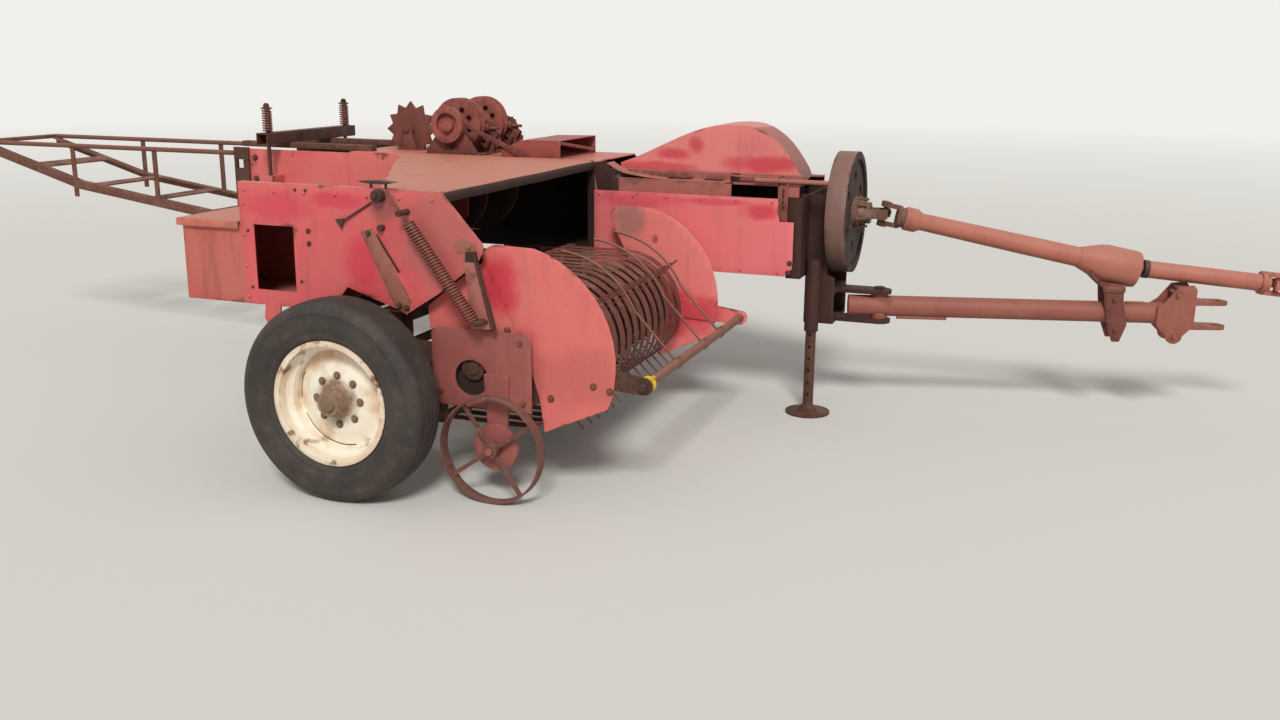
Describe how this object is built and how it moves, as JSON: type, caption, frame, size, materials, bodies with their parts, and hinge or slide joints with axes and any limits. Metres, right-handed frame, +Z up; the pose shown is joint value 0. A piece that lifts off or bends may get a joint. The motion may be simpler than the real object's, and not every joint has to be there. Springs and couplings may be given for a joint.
{
  "type": "square baler",
  "caption": "Towed small square baler with side pickup, bale chamber, knotters, flywheel drive, swinging tongue and rear bale chute.",
  "frame": {"origin": "on the ground, in the middle of the bounding box, which is close to the road axle", "axes": "+X forward in the direction of travel, +Y to the machine's left, +Z up"},
  "size_m": [6.1563, 2.346, 1.235],
  "materials": {
    "red_paint": "faded, chalky, rusting",
    "rusty_steel": "rusty and dusty",
    "dark_steel": "oily, rusty",
    "cream_paint": "worn, rust stained",
    "rubber": "dusty, worn"
  },
  "bodies": {
    "frame": {"chamber": "red_paint", "chamber_rails": "rusty_steel", "rear_frame": "dark_steel", "plunger": "dark_steel", "crank": "dark_steel", "gearbox": "dark_steel", "crank_cover": "red_paint", "deck_beams": "rusty_steel", "front_frame": "dark_steel", "axle": "dark_steel", "cross_beams": "dark_steel", "feeder_floor": "rusty_steel", "feeder_hood": "rusty_steel", "packer": "dark_steel", "side_sheet": "red_paint", "twine_box": "red_paint", "front_panel": "red_paint", "knotter_frame": "rusty_steel", "knotter_cover": "red_paint", "tension_bar": "dark_steel", "tension_springs": "rusty_steel", "chute": "rusty_steel", "jack_sleeve": "rusty_steel", "lift_spring": "dark_steel"},
    "box_lid": {"twine_lid": "rusty_steel"},
    "knotters": {"knotter_shaft": "rusty_steel"},
    "star": {"star_wheel": "dark_steel"},
    "needle_yoke": {"needles": "dark_steel"},
    "flywheel": {"flywheel": "rusty_steel"},
    "tongue": {"tongue": "rusty_steel", "carrier_post": "dark_steel", "hitch_clevis": "dark_steel", "driveline_shield": "rusty_steel"},
    "rear_shaft": {"driveline_rear": "rusty_steel"},
    "front_shaft": {"driveline_front": "rusty_steel"},
    "front_yoke": {"driveline_yoke": "rusty_steel"},
    "jack": {"jack_leg": "rusty_steel"},
    "wheel_right": {"tyre_right": "rubber", "rim_right": "cream_paint"},
    "wheel_left": {"tyre_left": "rubber", "rim_left": "cream_paint"},
    "pickup": {"pickup_sheet_right": "red_paint", "pickup_sheet_left": "red_paint", "pickup_strippers": "rusty_steel", "pickup_frame": "dark_steel", "pickup_shield": "rusty_steel"},
    "reel": {"pickup_reel": "dark_steel"},
    "gauge": {"gauge_wheel": "rusty_steel"},
    "guard": {"windguard": "dark_steel"}
  },
  "joints": [
    {"name": "wheel_right_spin", "type": "hinge", "parent": "frame", "child": "wheel_right", "pos_m": [0, -1.088, 0.335], "axis": [0, 1, 0], "continuous": true},
    {"name": "wheel_left_spin", "type": "hinge", "parent": "frame", "child": "wheel_left", "pos_m": [0, 1.088, 0.335], "axis": [0, 1, 0], "continuous": true},
    {"name": "flywheel_spin", "type": "hinge", "parent": "frame", "child": "flywheel", "pos_m": [1.3, 0.58, 0.815], "axis": [1, 0, 0], "continuous": true},
    {"name": "tongue_swing", "type": "hinge", "parent": "frame", "child": "tongue", "pos_m": [1.456, 0.58, 0.44], "axis": [0, 0, 1], "range_deg": [-28, 4]},
    {"name": "rear_shaft_spin", "type": "hinge", "parent": "tongue", "child": "rear_shaft", "pos_m": [1.456, 0.58, 0.815], "axis": [0.9466, 0.2536, -0.1992], "continuous": true},
    {"name": "front_shaft_spin", "type": "hinge", "parent": "tongue", "child": "front_shaft", "pos_m": [2.34948, 0.81941, 0.627], "axis": [0.9613, 0.2576, -0.0976], "continuous": true},
    {"name": "front_shaft_slide", "type": "slide", "parent": "front_shaft", "child": "front_yoke", "axis": [0.9613, 0.2576, -0.0976], "range_m": [-0.04, 0.12]},
    {"name": "jack_slide", "type": "slide", "parent": "frame", "child": "jack", "axis": [0, 0, 1], "range_m": [0, 0.3]},
    {"name": "pickup_lift", "type": "hinge", "parent": "frame", "child": "pickup", "pos_m": [0.1, -0.32, 0.47], "axis": [0, -1, 0], "range_deg": [0, 18], "deforming": ["lift_spring"]},
    {"name": "reel_spin", "type": "hinge", "parent": "pickup", "child": "reel", "pos_m": [0.515, -0.32, 0.445], "axis": [0, 1, 0], "continuous": true},
    {"name": "gauge_wheel_spin", "type": "hinge", "parent": "pickup", "child": "gauge", "pos_m": [0.48, -0.96, 0.18], "axis": [0, 1, 0], "continuous": true},
    {"name": "windguard_lift", "type": "hinge", "parent": "pickup", "child": "guard", "pos_m": [0.97, -0.32, 0.42], "axis": [0, 1, 0], "range_deg": [0, 25]},
    {"name": "twine_lid_hinge", "type": "hinge", "parent": "frame", "child": "box_lid", "pos_m": [-0.6, -0.494, 0.861], "axis": [-1, 0, 0], "range_deg": [0, 100]},
    {"name": "star_wheel_spin", "type": "hinge", "parent": "frame", "child": "star", "pos_m": [-0.7, 0.58, 1.085], "axis": [0, 1, 0], "continuous": true},
    {"name": "knotter_spin", "type": "hinge", "parent": "frame", "child": "knotters", "pos_m": [-0.39, 0.58, 1.125], "axis": [0, 1, 0], "continuous": true},
    {"name": "needle_lift", "type": "hinge", "parent": "frame", "child": "needle_yoke", "pos_m": [-0.1, 0.58, 0.575], "axis": [0, 1, 0], "range_deg": [0, 62]}
  ],
  "couplings": [
    {"joint": "rear_shaft_spin", "follows": "flywheel_spin", "ratio": 1},
    {"joint": "front_shaft_spin", "follows": "flywheel_spin", "ratio": 1}
  ]
}
